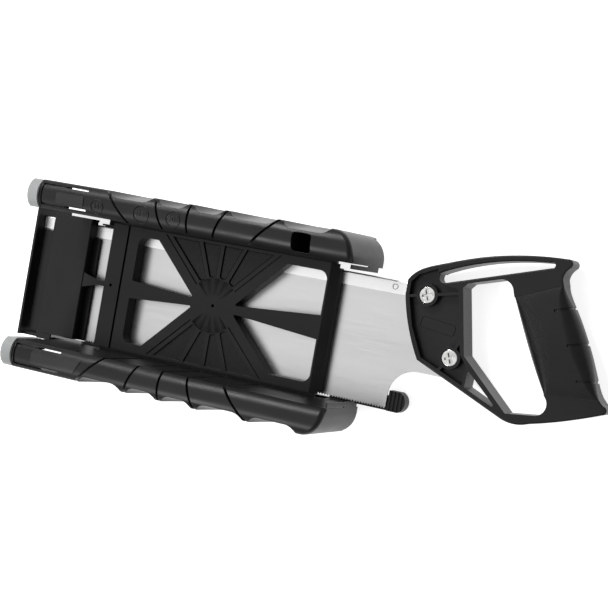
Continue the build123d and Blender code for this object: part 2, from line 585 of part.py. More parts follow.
# ---- Saw blade -------------------------------------------------------------------------------------
def blade_outline():
    """Toothed steel blade; its upper edge sits inside the folded spine."""
    top = SPINE_TOP - SPINE_SHEET
    teeth = int((BLADE_HEEL - BLADE_TIP) / TOOTH_PITCH)
    start = BLADE_HEEL - teeth * TOOTH_PITCH
    edge = [(BLADE_TIP, TOOTH_LINE + TOOTH_DEPTH)]
    for tooth in range(teeth):
        x = start + tooth * TOOTH_PITCH
        edge += [(x, TOOTH_LINE + TOOTH_DEPTH), (x + TOOTH_PITCH / 2, TOOTH_LINE)]
    edge.append((BLADE_HEEL, TOOTH_LINE + TOOTH_DEPTH))
    shoulder = (BLADE_HEEL + HEEL_RUN, BLADE_SHOULDER)
    bow = (BLADE_HEEL + 0.23 * HEEL_RUN, BLADE_SHOULDER + 0.42 * (HEEL_TOP - BLADE_SHOULDER))
    low_hidden = (SCREW_PLACES[1][0] + BLADE_MARGIN, BLADE_SHOULDER)
    with BuildSketch() as outline:
        with BuildLine():
            Polyline(*edge)
            Line(edge[-1], (BLADE_HEEL, HEEL_TOP))
            ThreePointArc((BLADE_HEEL, HEEL_TOP), bow, shoulder)
            Polyline(shoulder, low_hidden, (low_hidden[0], SCREW_PLACES[1][1]), (BLADE_REAR, top),
                     (BLADE_TIP, top), edge[0])
        make_face()
    return outline.sketch


with BuildPart() as saw_blade:
    with BuildSketch(Plane.XY.offset(BLADE_UNDER)):
        add(blade_outline())
    extrude(amount=BLADE)
    with Locations(*[(x, y, BLADE_UNDER - 1) for x, y in SCREW_PLACES]):
        Cylinder(SLEEVE_RADIUS + HOLE_PLAY, 4, align=BOTTOM, mode=Mode.SUBTRACT)
    with Locations(*[(x, SPINE_TOP - SPINE_DEPTH / 2, BLADE_UNDER - 1) for x in RIVET_X]):
        Cylinder(RIVET_RADIUS + HOLE_PLAY, 4, align=BOTTOM, mode=Mode.SUBTRACT)
save("saw_blade", saw_blade)

with BuildPart() as blade_spine:
    middle = SPINE_TOP - SPINE_DEPTH / 2
    with BuildSketch(Plane.YZ.offset(BLADE_TIP)) as fold:
        with Locations((middle, BLADE_PLANE)):
            Rectangle(SPINE_DEPTH, SPINE_THICK)
        fillet(fold.vertices().sort_by(Axis.X)[-2:], SPINE_THICK * 0.35)
        with Locations((middle - SPINE_SHEET, BLADE_PLANE)):
            Rectangle(SPINE_DEPTH, SPINE_THICK - 2 * SPINE_SHEET, mode=Mode.SUBTRACT)
    extrude(amount=SPINE_END - BLADE_TIP)
    with Locations((*SCREW_PLACES[0], 0)):
        Cylinder(SLEEVE_RADIUS + HOLE_PLAY, 2 * FLOOR_TOP, align=BOTTOM, mode=Mode.SUBTRACT)
    with Locations(*[(x, middle, 0) for x in RIVET_X]):
        Cylinder(RIVET_RADIUS + HOLE_PLAY, 2 * FLOOR_TOP, align=BOTTOM, mode=Mode.SUBTRACT)
    with Locations(*[(x, middle, BLADE_PLANE + SPINE_THICK / 2 - RIVET_SINK) for x in RIVET_X]):
        Cylinder(RIVET_RADIUS + RIVET_RING, SPINE_THICK, align=BOTTOM, mode=Mode.SUBTRACT)
save("blade_spine", blade_spine)

with BuildPart() as spine_rivets:
    base = BLADE_PLANE - SPINE_THICK / 2
    with Locations(*[(x, SPINE_TOP - SPINE_DEPTH / 2, base) for x in RIVET_X]):
        Cylinder(RIVET_RADIUS, SPINE_THICK - RIVET_SINK / 3, align=BOTTOM)
    fillet(spine_rivets.edges().group_by(Axis.Z)[-1], RIVET_SINK / 2)
save("spine_rivets", spine_rivets)


# ---- Handle ----------------------------------------------------------------------------------------
NECK = (161.0, 49.5)       # front top corner, beside the spine
CHIN = (179.5, -9.5)       # front lower corner
KEEL = (252.0, -39.8)      # end of the straight lower edge
HORN = (328.8, -18.4)      # lower horn behind the grip
CREST = (281.0, 84.9)      # upper horn above the grip
WAIST = (279.8, 70.0)      # hollow between the upper horn and the grip
BOW_LEFT = (205.8, 50.5)   # D opening: front top, front elbow and front bottom
BOW_ELBOW = (216.0, 0.5)
BOW_LOW = (255.0, -35.2)
# front and back edges of the grip, from its foot to its head
GRIP_FRONT = ((283.5, -18.9), (266.0, 7.2), (252.6, 34.5), (244.9, 54.5))
GRIP_BACK = ((325.8, -15.2), (321.2, -10.5), (316.2, 1.0), (309.6, 16.5), (303.0, 30.5), (291.8, 48.5),
             (283.2, 61.5), WAIST)
GRIP_SHARES = (0.05, 0.14, 0.28, 0.5, 0.72, 0.86, 0.95)   # sections of the grip along both edges
FRAME_EASE = 1.1           # rounding of the frame's long edges
GRIP_CLEARANCE = 21.0     # the frame is cleared this far beyond both edges of the grip
GRIP_STEP = 0.15          # the grip lies this far inside the frame where they meet


def handle_outline():
    """Whole outside of the handle."""
    with BuildSketch() as outline:
        with BuildLine():
            Line(NECK, (161.0, 38.0))
            ThreePointArc((161.0, 38.0), (167.8, 14.5), CHIN)
            Line(CHIN, KEEL)
            ThreePointArc(KEEL, (262.5, -41.7), (274.0, -39.2))
            Spline((274.0, -39.2), (292.0, -34.2), (309.0, -28.4), (325.6, -21.8))
            ThreePointArc((325.6, -21.8), HORN, (325.8, -15.2))
            Spline(*GRIP_BACK)
            Spline(WAIST, (280.6, 74.0), (284.2, 79.0))
            ThreePointArc((284.2, 79.0), (284.9, 82.9), CREST)
            Spline(CREST, (262.0, 83.9), (239.3, 80.9), (214.3, 75.2), (184.2, 65.0), (167.0, 56.6), NECK)
        make_face()
    return outline.sketch


def grip_ends(share):
    """Front and back points of the grip at a share of its length, from foot to head."""
    return Spline(*GRIP_FRONT) @ share, Spline(*GRIP_BACK) @ share


def grip_zone():
    """Stretch of the frame that the rounded grip replaces."""
    (front_low, back_low), (front_top, back_top) = grip_ends(GRIP_SHARES[0]), grip_ends(GRIP_SHARES[-1])
    past_low = (back_low - front_low).normalized() * GRIP_CLEARANCE
    past_top = (back_top - front_top).normalized() * GRIP_CLEARANCE
    with BuildSketch() as outline:
        with BuildLine():
            Polyline(front_top - past_top, back_top + past_top, back_low + past_low, front_low - past_low,
                     close=True)
        make_face()
    return outline.sketch


def grip_measures(share):
    """Plane, width, thickness and corner of the grip, square at its ends and nearly oval between."""
    front, back = grip_ends(share)
    across = back - front
    lift = Vector(0, 0, BLADE_PLANE)
    first, last = GRIP_SHARES[0], GRIP_SHARES[-1]
    swell = sin(pi * (share - first) / (last - first)) ** 0.6
    thick = FRAME_THICK + (GRIP_THICK - FRAME_THICK) * swell
    corner = FRAME_EASE + (0.46 * thick - FRAME_EASE) * swell
    plane = Plane(origin=(front + back) / 2 + lift, x_dir=across, z_dir=across.cross(Vector(0, 0, 1)))
    return plane, across.length - 2 * GRIP_STEP, thick - 2 * GRIP_STEP, corner


def grip_section(share):
    """Section of the grip at a share of its length."""
    plane, width, thick, corner = grip_measures(share)
    with BuildSketch(plane) as section:
        RectangleRounded(width, thick, corner)
    return section.sketch


def notch_section(share):
    """What a notch takes off the back of the grip's section."""
    plane, width, thick, corner = grip_measures(share)
    with BuildSketch(plane) as section:
        RectangleRounded(width + 2, thick + 2, corner + 1)
        deep = 2 * NOTCH_DEPTH
        RectangleRounded(width - deep, thick - deep, corner - NOTCH_DEPTH, mode=Mode.SUBTRACT)
        with Locations((-NOTCH_REACH, 0)):
            Rectangle(width, 2 * thick, mode=Mode.SUBTRACT)
    return section.sketch


def bow_outline():
    """D opening for the fingers."""
    with BuildSketch() as outline:
        with BuildLine():
            Polyline((233.5, 61.8), (209.3, 54.6), BOW_LEFT, BOW_ELBOW, BOW_LOW, (276.0, -32.4))
            ThreePointArc((276.0, -32.4), (283.8, -27.4), (283.5, -18.9))
            Spline(*GRIP_FRONT)
            ThreePointArc((244.9, 54.5), (240.8, 60.6), (233.5, 61.8))
        make_face()
    return outline.sketch


def slot_outline():
    """Long tapering opening under the upper bar."""
    with BuildSketch() as outline:
        with BuildLine():
            Line((189.6, 51.4), (270.0, 76.4))
            ThreePointArc((270.0, 76.4), (272.4, 78.9), (268.5, 80.2))
            Spline((268.5, 80.2), (240.2, 76.6), (212.0, 69.4), (187.0, 59.2))
            ThreePointArc((187.0, 59.2), (184.4, 54.6), (189.6, 51.4))
        make_face()
    return outline.sketch


def truss_outline():
    """Three-cornered opening behind the lower screw."""
    with BuildSketch() as outline:
        with BuildLine():
            Polyline((221.0, -9.4), (220.4, -22.6), (250.0, -35.2), close=True)
        make_face()
        fillet(outline.vertices(), 1.2)
    return outline.sketch


def web_outline():
    """Sunk web inside the front of the frame, cut round the screw bosses and ribs."""
    with BuildSketch() as outline:
        with BuildLine():
            Polyline((164.3, 38.5), (164.3, 48.6), (169.6, 54.8), (183.6, 61.4), (188.2, 51.2),
                     (202.3, 48.8), (212.6, 1.2), (219.0, -7.0), (218.4, -21.6), (182.3, -6.9), (171.0, 15.3),
                     close=True)
        make_face()
        with Locations(*SCREW_PLACES):
            Circle(BOSS_RADIUS, mode=Mode.SUBTRACT)
        for (x, y), turn, reach in ((SCREW_PLACES[0], 12, 34), (SCREW_PLACES[0], 192, 18),
                                    (SCREW_PLACES[1], 68, 16), (SCREW_PLACES[1], 235, 20)):
            with Locations(Location((x, y, 0), (0, 0, turn))):
                Rectangle(reach, 2.2, align=(Align.MIN, Align.CENTER), mode=Mode.SUBTRACT)
    return outline.sketch


def blade_pocket():
    """Plan of the kerf that takes the hidden end of the blade."""
    edge = SCREW_PLACES[1][0] + BLADE_MARGIN + FIT
    with BuildSketch() as outline:
        with BuildLine():
            Polyline((NECK[0] - 6, SPINE_TOP), (BLADE_REAR + FIT, SPINE_TOP), (edge, SCREW_PLACES[1][1]),
                     (edge, BLADE_SHOULDER - FIT), (NECK[0] - 6, BLADE_SHOULDER - FIT), close=True)
        make_face()
    return outline.sketch


with BuildPart() as grip:
    loft([grip_section(share) for share in GRIP_SHARES])

with BuildPart() as handle:
    frame_base = BLADE_PLANE - FRAME_THICK / 2
    with BuildSketch(Plane.XY.offset(frame_base)):
        add(handle_outline())
        add(slot_outline(), mode=Mode.SUBTRACT)
    extrude(amount=FRAME_THICK)
    rims = handle.edges().group_by(Axis.Z)
    fillet(rims[0] + rims[-1], FRAME_EASE)
    for cut in (grip_zone, bow_outline, truss_outline):
        with BuildSketch():
            add(cut())
        extrude(amount=3 * FLOOR_TOP, mode=Mode.SUBTRACT)
    add(grip.part)
    # web sunk from both faces
    sink = (FRAME_THICK - WEB_THICK) / 2
    for base in (frame_base, frame_base + FRAME_THICK - sink):
        with BuildSketch(Plane.XY.offset(base)):
            add(web_outline())
        extrude(amount=sink, mode=Mode.SUBTRACT)
    # kerf for the blade, and the wider slot for its spine
    with BuildSketch(Plane.XY.offset(BLADE_UNDER - HOLE_PLAY)):
        add(blade_pocket())
    extrude(amount=BLADE + 2 * HOLE_PLAY, mode=Mode.SUBTRACT)
    slot = SPINE_THICK / 2 + HOLE_PLAY
    span_box(NECK[0] - 5, SPINE_END + FIT, SPINE_LOW - FIT, SPINE_TOP + FIT, BLADE_PLANE - slot,
             BLADE_PLANE + slot, Mode.SUBTRACT)
    # stepped holes: screw head above, sleeve nut below
    with Locations(*SCREW_PLACES):
        Cylinder(SHANK_RADIUS + HOLE_PLAY, 3 * FLOOR_TOP, align=BOTTOM, mode=Mode.SUBTRACT)
        past_sleeve = BLADE_PLANE + SLEEVE_REACH + 0.5
        Cylinder(SLEEVE_RADIUS + HOLE_PLAY, past_sleeve, align=BOTTOM, mode=Mode.SUBTRACT)
        Cylinder(HEAD_RADIUS + HOLE_PLAY, frame_base + HEAD_HEIGHT, align=BOTTOM, mode=Mode.SUBTRACT)
    with Locations(*[(x, y, frame_base + FRAME_THICK - HEAD_HEIGHT) for x, y in SCREW_PLACES]):
        Cylinder(HEAD_RADIUS + HOLE_PLAY, FRAME_THICK, align=BOTTOM, mode=Mode.SUBTRACT)
    # notches across the back of the grip
    for share in NOTCH_SHARES:
        extrude(notch_section(share), amount=NOTCH_WIDTH / 2, both=True, mode=Mode.SUBTRACT)
save("handle", handle)

frame_top = frame_base + FRAME_THICK
thread_low = frame_base + HEAD_HEIGHT + 1
with BuildPart() as handle_screws:
    for x, y in SCREW_PLACES:
        with Locations((x, y, frame_top - HEAD_HEIGHT)):
            Cylinder(HEAD_RADIUS, HEAD_HEIGHT, align=BOTTOM)
        with Locations((x, y, thread_low)):
            Cylinder(SHANK_RADIUS, frame_top - HEAD_HEIGHT - thread_low, align=BOTTOM)
    rims = handle_screws.edges().filter_by(GeomType.CIRCLE).group_by(Axis.Z)[-1]
    fillet(rims, 0.9)
    for x, y in SCREW_PLACES:
        for turn in (20, 110):
            with Locations(Location((x, y, frame_top), (0, 0, turn))):
                Box(1.25 * HEAD_RADIUS, CROSS_WIDTH, 3, mode=Mode.SUBTRACT)
save("handle_screws", handle_screws)

with BuildPart() as sleeve_nuts:
    for x, y in SCREW_PLACES:
        with Locations((x, y, frame_base)):
            Cylinder(HEAD_RADIUS, HEAD_HEIGHT, align=BOTTOM)
            Cylinder(SLEEVE_RADIUS, BLADE_PLANE - frame_base + SLEEVE_REACH, align=BOTTOM)
        with Locations((x, y, thread_low)):
            Cylinder(SHANK_RADIUS + 0.02, FRAME_THICK, align=BOTTOM, mode=Mode.SUBTRACT)
        with Locations((x, y, frame_base)):
            Box(1.5 * HEAD_RADIUS, 1.4, 1.2, align=BOTTOM, mode=Mode.SUBTRACT)
save("sleeve_nuts", sleeve_nuts)


# ---- Latch -----------------------------------------------------------------------------------------
with BuildPart() as latch:
    pivot_x, pivot_z = LATCH_PIVOT
    low = pivot_z - LATCH_ARM / 2
    with Locations((pivot_x, (TOOTH_LINE + 1 + LATCH_INNER) / 2, pivot_z)):
        Cylinder(LATCH_EYE, LATCH_INNER - TOOTH_LINE - 1, rotation=(90, 0, 0))
    span_box(pivot_x, KNOB_LEFT + 1, TOOTH_LINE + 1, LATCH_INNER, low, low + LATCH_ARM)
    span_box(pivot_x + 9, KNOB_LEFT + 1, LATCH_OUTER, TOOTH_LINE + 1.5, low, low + LATCH_ARM)
    knob_half = (KNOB_TOP_Y - LATCH_OUTER) / 2
    knob_mid = (KNOB_TOP_Y + LATCH_OUTER) / 2
    round_x = KNOB_RIGHT - KNOB_BOW
    with BuildSketch(Plane.XY.offset(KNOB_BOTTOM)):
        with BuildLine():
            Polyline((round_x, knob_mid + knob_half), (KNOB_LEFT, knob_mid + knob_half),
                     (KNOB_LEFT, knob_mid - knob_half), (round_x, knob_mid - knob_half))
            ThreePointArc((round_x, knob_mid - knob_half), (KNOB_RIGHT, knob_mid),
                          (round_x, knob_mid + knob_half))
        make_face()
    extrude(amount=BLADE_UNDER - SAW_CLEAR - KNOB_BOTTOM)
    knob_top = BLADE_UNDER - SAW_CLEAR
    pitch = (KNOB_RIGHT - KNOB_LEFT) / (KNOB_RIDGES + 0.5)
    for ridge in range(KNOB_RIDGES):
        x = KNOB_LEFT + (ridge + 0.8) * pitch
        with Locations((x, knob_mid, knob_top)):
            Cylinder(0.8, 4 * knob_half, rotation=(90, 0, 0), mode=Mode.SUBTRACT)
save("latch", latch)
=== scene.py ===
"""Looks of the mitre box and its back saw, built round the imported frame.

The frame's origin is on the table under the crossing of the saw slots. +X runs towards the saw's handle,
+Y towards the rail with the angle labels, and +Z up. Lengths are in metres.
"""

import json
import logging
import math
from dataclasses import dataclass, field
from enum import Enum
from typing import Sequence

import bmesh
import bpy
from mathutils import Matrix, Vector
from mathutils.bvhtree import BVHTree


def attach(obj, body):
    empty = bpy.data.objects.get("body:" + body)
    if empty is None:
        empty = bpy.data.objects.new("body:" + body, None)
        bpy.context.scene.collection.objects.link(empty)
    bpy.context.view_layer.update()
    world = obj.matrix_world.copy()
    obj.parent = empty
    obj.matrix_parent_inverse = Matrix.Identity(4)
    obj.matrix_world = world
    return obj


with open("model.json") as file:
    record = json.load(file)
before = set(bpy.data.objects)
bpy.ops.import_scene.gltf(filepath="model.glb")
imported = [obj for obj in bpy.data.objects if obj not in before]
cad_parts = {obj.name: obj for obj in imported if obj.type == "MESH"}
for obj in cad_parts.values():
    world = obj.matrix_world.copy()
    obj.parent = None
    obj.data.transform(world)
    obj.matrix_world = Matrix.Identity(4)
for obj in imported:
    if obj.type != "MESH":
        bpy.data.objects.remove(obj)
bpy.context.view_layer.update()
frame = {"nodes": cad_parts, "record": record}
LOG = logging.getLogger("mitre_box")
MM = 0.001
CORNER_STEPS = 4          # straight steps in a quarter of a rounded corner
HIGH_ABOVE = 0.3          # start of a ray that looks for a surface, clear of the whole object
Colour = tuple[float, float, float]
Point2 = tuple[float, float]


class Body(str, Enum):
    """Rigid bodies of the frame."""

    BOX = "box"
    SAW = "saw"
    LATCH = "latch"


# ---- Finishes --------------------------------------------------------------------------------------
class NodeBench:
    """A material's node tree, with short calls that add and wire nodes."""

    def __init__(self, name: str) -> None:
        """Start a material with an empty shader.

        Args:
            name: the material's name.
        """
        self.material = bpy.data.materials.new(name)
        self.material.use_nodes = True
        self.tree = self.material.node_tree
        self.shader = self.tree.nodes["Principled BSDF"]
        self.coords = self.add("ShaderNodeTexCoord").outputs["Object"]

    def add(self, kind: str, **settings: object) -> bpy.types.Node:
        """Add one node.

        Args:
            kind: the node's type name.
            **settings: attributes to set on it.

        Returns:
            The new node.
        """
        node = self.tree.nodes.new(kind)
        for key, value in settings.items():
            setattr(node, key, value)
        return node

    def wire(self, source: bpy.types.NodeSocket, target: bpy.types.NodeSocket) -> None:
        """Join an output to an input."""
        self.tree.links.new(source, target)

    def noise(self, scale: float, detail: float = 2.0, stretch: Colour = (1, 1, 1)) -> bpy.types.NodeSocket:
        """Noise on object coordinates.

        Args:
            scale: cells in a metre.
            detail: number of octaves.
            stretch: factor on each axis before the noise is read.

        Returns:
            The noise's value output.
        """
        mapping = self.add("ShaderNodeMapping")
        mapping.inputs["Scale"].default_value = stretch
        self.wire(self.coords, mapping.inputs["Vector"])
        node = self.add("ShaderNodeTexNoise")
        node.inputs["Scale"].default_value = scale
        node.inputs["Detail"].default_value = detail
        self.wire(mapping.outputs["Vector"], node.inputs["Vector"])
        return node.outputs[0]

    def cells(self, scale: float) -> bpy.types.NodeSocket:
        """Distance to the nearest point of a Voronoi pattern on object coordinates."""
        node = self.add("ShaderNodeTexVoronoi")
        node.inputs["Scale"].default_value = scale
        self.wire(self.coords, node.inputs["Vector"])
        return node.outputs["Distance"]

    def math(self, operation: str, first: object, second: object = 0.0) -> bpy.types.NodeSocket:
        """One Math node on sockets or numbers.

        Args:
            operation: the node's operation.
            first: a socket or a number.
            second: a socket or a number.

        Returns:
            The node's output.
        """
        node = self.add("ShaderNodeMath", operation=operation)
        for socket, value in zip(node.inputs, (first, second)):
            if isinstance(value, (int, float)):
                socket.default_value = value
            else:
                self.wire(value, socket)
        return node.outputs[0]

    def spread(self, value: bpy.types.NodeSocket, source: Point2, result: Point2) -> bpy.types.NodeSocket:
        """Map a value from one range to another, clamped.

        Args:
            value: the socket to map.
            source: lowest and highest value read.
            result: what they become.

        Returns:
            The mapped value.
        """
        node = self.add("ShaderNodeMapRange")
        node.inputs["From Min"].default_value, node.inputs["From Max"].default_value = source
        node.inputs["To Min"].default_value, node.inputs["To Max"].default_value = result
        self.wire(value, node.inputs["Value"])
        return node.outputs[0]

    def mix(self, factor: bpy.types.NodeSocket, low: object, high: object) -> bpy.types.NodeSocket:
        """Blend two colours.

        Args:
            factor: share of the second colour.
            low: a colour or a socket.
            high: a colour or a socket.

        Returns:
            The blended colour.
        """
        node = self.add("ShaderNodeMix", data_type="RGBA")
        self.wire(factor, node.inputs["Factor"])
        colour_inputs = [socket for socket in node.inputs if socket.type == "RGBA"]
        for socket, value in zip(colour_inputs, (low, high)):
            if isinstance(value, tuple):
                socket.default_value = (*value, 1)
            else:
                self.wire(value, socket)
        return next(socket for socket in node.outputs if socket.type == "RGBA")

    def bump(
        self,
        height: bpy.types.NodeSocket,
        depth: float,
        strength: float = 1.0,
        normal: bpy.types.NodeSocket | None = None,
    ) -> bpy.types.NodeSocket:
        """Bump a surface.

        Args:
            height: pattern from 0 to 1.
            depth: what 1 stands for, in metres.
            strength: share of the bump that shows.
            normal: a normal to bump further, if any.

        Returns:
            The bumped normal.
        """
        node = self.add("ShaderNodeBump")
        node.inputs["Strength"].default_value = strength
        node.inputs["Distance"].default_value = depth
        self.wire(height, node.inputs["Height"])
        if normal is not None:
            self.wire(normal, node.inputs["Normal"])
        return node.outputs[0]

    def eased_edges(self, radius: float) -> tuple[bpy.types.NodeSocket, bpy.types.NodeSocket]:
        """Normal of a surface with its edges eased, and a mask of those edges.

        Args:
            radius: rounding of the edges.

        Returns:
            The eased normal, and a mask that is 1 on the edges.
        """
        bevel = self.add("ShaderNodeBevel", samples=4)
        bevel.inputs["Radius"].default_value = radius
        geometry = self.add("ShaderNodeNewGeometry")
        dot = self.add("ShaderNodeVectorMath", operation="DOT_PRODUCT")
        self.wire(bevel.outputs["Normal"], dot.inputs[0])
        self.wire(geometry.outputs["Normal"], dot.inputs[1])
        return bevel.outputs["Normal"], self.spread(dot.outputs["Value"], (0.995, 0.80), (0.0, 1.0))

    def set(self, socket: str, value: object) -> None:
        """Set a constant on the shader itself."""
        self.shader.inputs[socket].default_value = value

    def feed(self, socket: str, source: bpy.types.NodeSocket) -> None:
        """Wire a pattern to the shader."""
        self.wire(source, self.shader.inputs[socket])


@dataclass(frozen=True)
class MouldedPlastic:
    """Spark-eroded moulded plastic with a fine grain, eased edges, and edges painted lighter for rub marks
    and painted highlights.
    """

    name: str
    colour: Colour
    roughness: float = 0.36
    grain_scale: float = 2400.0
    grain_depth: float = 0.022 * MM
    edge_radius: float = 0.35 * MM
    edge_wear_and_highlight_gain: float = 1.9
    specular: float = 0.2

    def build(self) -> bpy.types.Material:
        """Make the material.

        Returns:
            The finished material.
        """
        return self.bench().material

    def bench(self) -> NodeBench:
        """Wire the finish.

        Returns:
            The bench that holds the material, for finishes that add to it.
        """
        bench = NodeBench(self.name)
        eased, edge = bench.eased_edges(self.edge_radius)
        cloud = bench.noise(22.0, 3.0)
        dark = tuple(0.82 * c for c in self.colour)
        light = tuple(min(1.0, 1.2 * c) for c in self.colour)
        # Edges painted lighter: partly rub marks, partly a painted highlight where edges catch the light;
        # strongest on the marks.
        worn_and_highlit_edge_colour = tuple(min(1.0, self.edge_wear_and_highlight_gain * c) for c in self.colour)
        base = bench.mix(bench.spread(cloud, (0.3, 0.7), (0.0, 1.0)), dark, light)
        edge_wear_and_highlight = bench.math("MULTIPLY", edge, bench.spread(bench.noise(140.0, 3.0), (0.35, 0.7), (0.25, 1.0)))
        bench.feed("Base Color", bench.mix(edge_wear_and_highlight, base, worn_and_highlit_edge_colour))
        scuff = bench.spread(bench.noise(9.0, 4.0, (6.0, 60.0, 60.0)), (0.55, 0.75), (0.0, 0.07))
        rough = bench.spread(cloud, (0.3, 0.7), (self.roughness - 0.04, self.roughness + 0.05))
        bench.feed("Roughness", bench.math("SUBTRACT", rough, scuff))
        bench.set("Specular IOR Level", self.specular)
        bench.feed("Normal", bench.bump(bench.noise(self.grain_scale, 2.0), self.grain_depth, 0.6, eased))
        return bench


@dataclass(frozen=True)
class PanelPlastic(MouldedPlastic):
    """Moulded plastic with a coarser texture and painted glints at the height of its sunk panels."""

    deck_height: float = 27.0 * MM
    sink: float = 1.2 * MM
    pit_scale: float = 1500.0

    def build(self) -> bpy.types.Material:
        """Make the material.

        Returns:
            The finished material.
        """
        bench = self.bench()
        old_normal = bench.shader.inputs["Normal"].links[0].from_socket
        height = bench.add("ShaderNodeSeparateXYZ")
        bench.wire(bench.coords, height.inputs[0])
        middle = self.deck_height - self.sink
        gap = bench.math("ABSOLUTE", bench.math("SUBTRACT", height.outputs["Z"], middle))
        mask = bench.math("LESS_THAN", gap, 0.25 * self.sink)
        pits = bench.math("MULTIPLY", bench.cells(self.pit_scale), mask)
        bench.feed("Normal", bench.bump(pits, 0.16 * MM, 0.9, old_normal))
        # Painted glints: specks at the panels' height coloured much lighter, standing in for sparkle of
        # light.
        painted_glint_spots = bench.spread(bench.noise(1900.0, 1.0), (0.60, 0.74), (0.0, 1.0))
        colour = bench.shader.inputs["Base Color"].links[0].from_socket
        painted_glint_colour = tuple(min(1.0, 3.2 * c) for c in self.colour)
        bench.feed("Base Color", bench.mix(bench.math("MULTIPLY", painted_glint_spots, mask), colour, painted_glint_colour))
        return bench.material


@dataclass(frozen=True)
class BrushedSteel:
    """Rolled and brushed steel, with its brush lines along X."""

    name: str
    colour: Colour
    roughness: float = 0.3
    line_scale: float = 36.0
    line_ratio: float = 70.0
    line_depth: float = 0.002 * MM
    edge_radius: float = 0.1 * MM

    def build(self) -> bpy.types.Material:
        """Make the material.

        Returns:
            The finished material.
        """
        bench = NodeBench(self.name)
        stretch = (1.0, self.line_ratio, self.line_ratio)
        lines = bench.noise(self.line_scale, 5.0, stretch)
        cloud = bench.noise(14.0, 2.0)
        dark = tuple(0.90 * c for c in self.colour)
        tone = bench.mix(bench.spread(lines, (0.3, 0.7), (0.0, 1.0)), dark, self.colour)
        haze = tuple(0.95 * c for c in self.colour)
        bench.feed("Base Color", bench.mix(bench.spread(cloud, (0.4, 0.7), (0.0, 0.6)), tone, haze))
        bench.set("Metallic", 1.0)
        spread = (self.roughness - 0.06, self.roughness + 0.08)
        bench.feed("Roughness", bench.spread(lines, (0.25, 0.75), spread))
        eased, _ = bench.eased_edges(self.edge_radius)
        bench.feed("Normal", bench.bump(lines, self.line_depth, 0.5, eased))
        return bench.material


@dataclass(frozen=True)
class PlatedMetal:
    """Bright plated metal with a light orange peel and patches of tarnish."""

    name: str
    colour: Colour
    roughness: float = 0.16
    peel_depth: float = 0.02 * MM

    def build(self) -> bpy.types.Material:
        """Make the material.

        Returns:
            The finished material.
        """
        bench = NodeBench(self.name)
        peel = bench.noise(620.0, 2.0)
        tarnish = bench.noise(260.0, 3.0)
        dark = tuple(0.72 * c for c in self.colour)
        share = bench.spread(tarnish, (0.45, 0.75), (0.0, 1.0))
        bench.feed("Base Color", bench.mix(share, self.colour, dark))
        bench.set("Metallic", 1.0)
        bench.feed("Roughness", bench.spread(tarnish, (0.3, 0.7), (self.roughness, self.roughness + 0.16)))
        eased, _ = bench.eased_edges(0.25 * MM)
        bench.feed("Normal", bench.bump(peel, self.peel_depth, 0.5, eased))
        return bench.material


@dataclass
class FinishBook:
    """Every finish: one for each of the record's slots, and more for the deck, marks and stipple."""

    charcoal: Colour = (0.0125, 0.0128, 0.0134)
    slots: dict[str, bpy.types.Material] = field(default_factory=dict)

    def mix_all(self) -> None:
        """Make each finish's material once."""
        finishes = {
            "box_plastic": MouldedPlastic("box plastic", self.charcoal),
            "deck_plastic": PanelPlastic("deck plastic", self.charcoal),
            "cap_plastic": MouldedPlastic("cap plastic", (0.35, 0.36, 0.36), 0.4, edge_wear_and_highlight_gain=1.15),
            "guide_plastic": MouldedPlastic("guide plastic", (0.016, 0.016, 0.017), 0.5),
            "handle_plastic": MouldedPlastic("handle plastic", self.charcoal, 0.36),
            "latch_plastic": MouldedPlastic("latch plastic", (0.017, 0.017, 0.018), 0.45),
            # Marks coloured lighter than the rails, with strongly lightened edges: a painted highlight for
            # the light the raised marks catch.
            "highlit_mark_plastic": MouldedPlastic("mark plastic with painted highlight", (0.030, 0.0305, 0.0315), 0.3, edge_wear_and_highlight_gain=3.5),
            # Stipple points coloured lighter than the grip: a painted highlight on the small points.
            "highlit_stipple_plastic": MouldedPlastic("stippled plastic with painted highlight", (0.055, 0.055, 0.056), 0.26),
            "blade_steel": BrushedSteel("blade steel", (0.56, 0.56, 0.56), 0.34),
            "spine_steel": BrushedSteel("spine steel", (0.93, 0.93, 0.93), 0.42, line_depth=0.001 * MM),
            "screw_steel": PlatedMetal("zinc plate", (0.60, 0.61, 0.62), 0.3),
            "bright_nickel": PlatedMetal("bright nickel", (0.52, 0.52, 0.51), 0.12),
        }
        for slot, finish in finishes.items():
            self.slots[slot] = finish.build()

    def dress(self, piece: bpy.types.Object, slot: str) -> None:
        """Give a piece one finish, and nothing else."""
        piece.data.materials.clear()
        piece.data.materials.append(self.slots[slot])

    def dress_frame(self) -> None:
        """Give every CAD node the finish of its slot."""
        special = {"cutting_floor": "deck_plastic"}
        for entry in frame["record"]["subparts"]:
            node = entry["node"]
            self.dress(frame["nodes"][node], special.get(node, entry["material_slot"]))
            LOG.info("dressed %s", node)


# ---- Mesh helpers ----------------------------------------------------------------------------------
def surface_of(node: str) -> BVHTree:
    """Search tree of one CAD node's faces.

    Args:
        node: the node's name.

    Returns:
        The tree, in frame coordinates.
    """
    mesh = frame["nodes"][node].data
    corners = [vertex.co for vertex in mesh.vertices]
    faces = [tuple(polygon.vertices) for polygon in mesh.polygons]
    return BVHTree.FromPolygons(corners, faces)


def drape(shell: bmesh.types.BMesh, tree: BVHTree) -> None:
    """Lay a flat mesh on an upper surface, keeping each vertex's own height above it.

    Args:
        shell: mesh whose Z is the height over the surface.
        tree: the surface.
    """
    for vertex in shell.verts:
        start = Vector((vertex.co.x, vertex.co.y, HIGH_ABOVE))
        hit = tree.ray_cast(start, Vector((0, 0, -1)))[0]
        if hit is not None:
            vertex.co.z = hit.z + vertex.co.z


